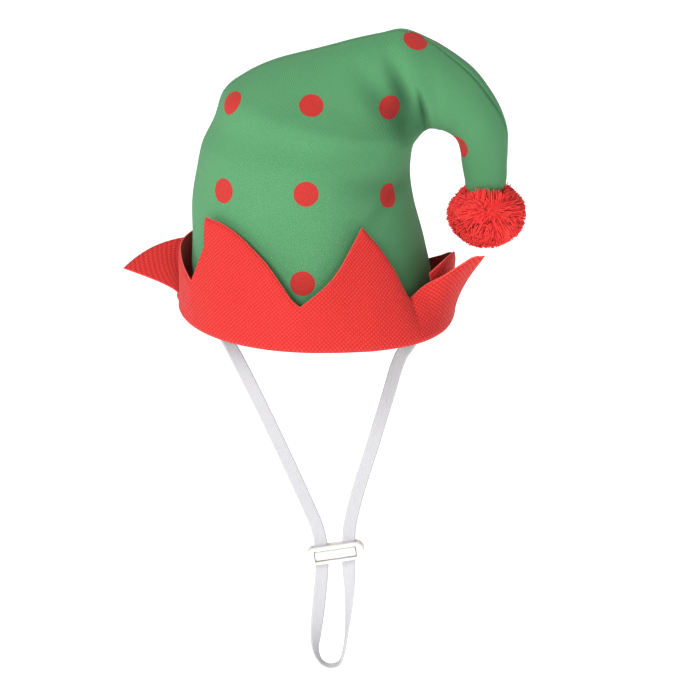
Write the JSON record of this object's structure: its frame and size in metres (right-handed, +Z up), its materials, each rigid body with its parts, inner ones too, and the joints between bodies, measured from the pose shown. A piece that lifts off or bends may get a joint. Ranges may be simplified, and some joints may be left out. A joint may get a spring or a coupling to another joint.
{
  "type": "elf hat",
  "caption": "Small cloth elf hat with a curled peak ending in a pompom, a toothed cuff and an elastic chin loop with a slide toggle.",
  "frame": {"origin": "middle of the head opening, level with the lowest edge of the cuff", "axes": "+Z up through the crown, +X towards the side that the peak curls over, -Y out of the front"},
  "size_m": [0.1837, 0.1256, 0.3075],
  "materials": {
    "crown_cloth": "matt woven cloth with printed dots",
    "cuff_cloth": "matt cloth with a raised diagonal weave",
    "yarn": "soft yarn",
    "elastic": "flat ribbed elastic",
    "toggle_plastic": "smooth"
  },
  "bodies": {
    "root": {"crown": "crown_cloth", "cuff_front": "cuff_cloth", "cuff_back": "cuff_cloth", "pompom": "yarn", "chin_strap": "elastic", "toggle": "toggle_plastic", "toggle_bar": "toggle_plastic"}
  },
  "joints": []
}
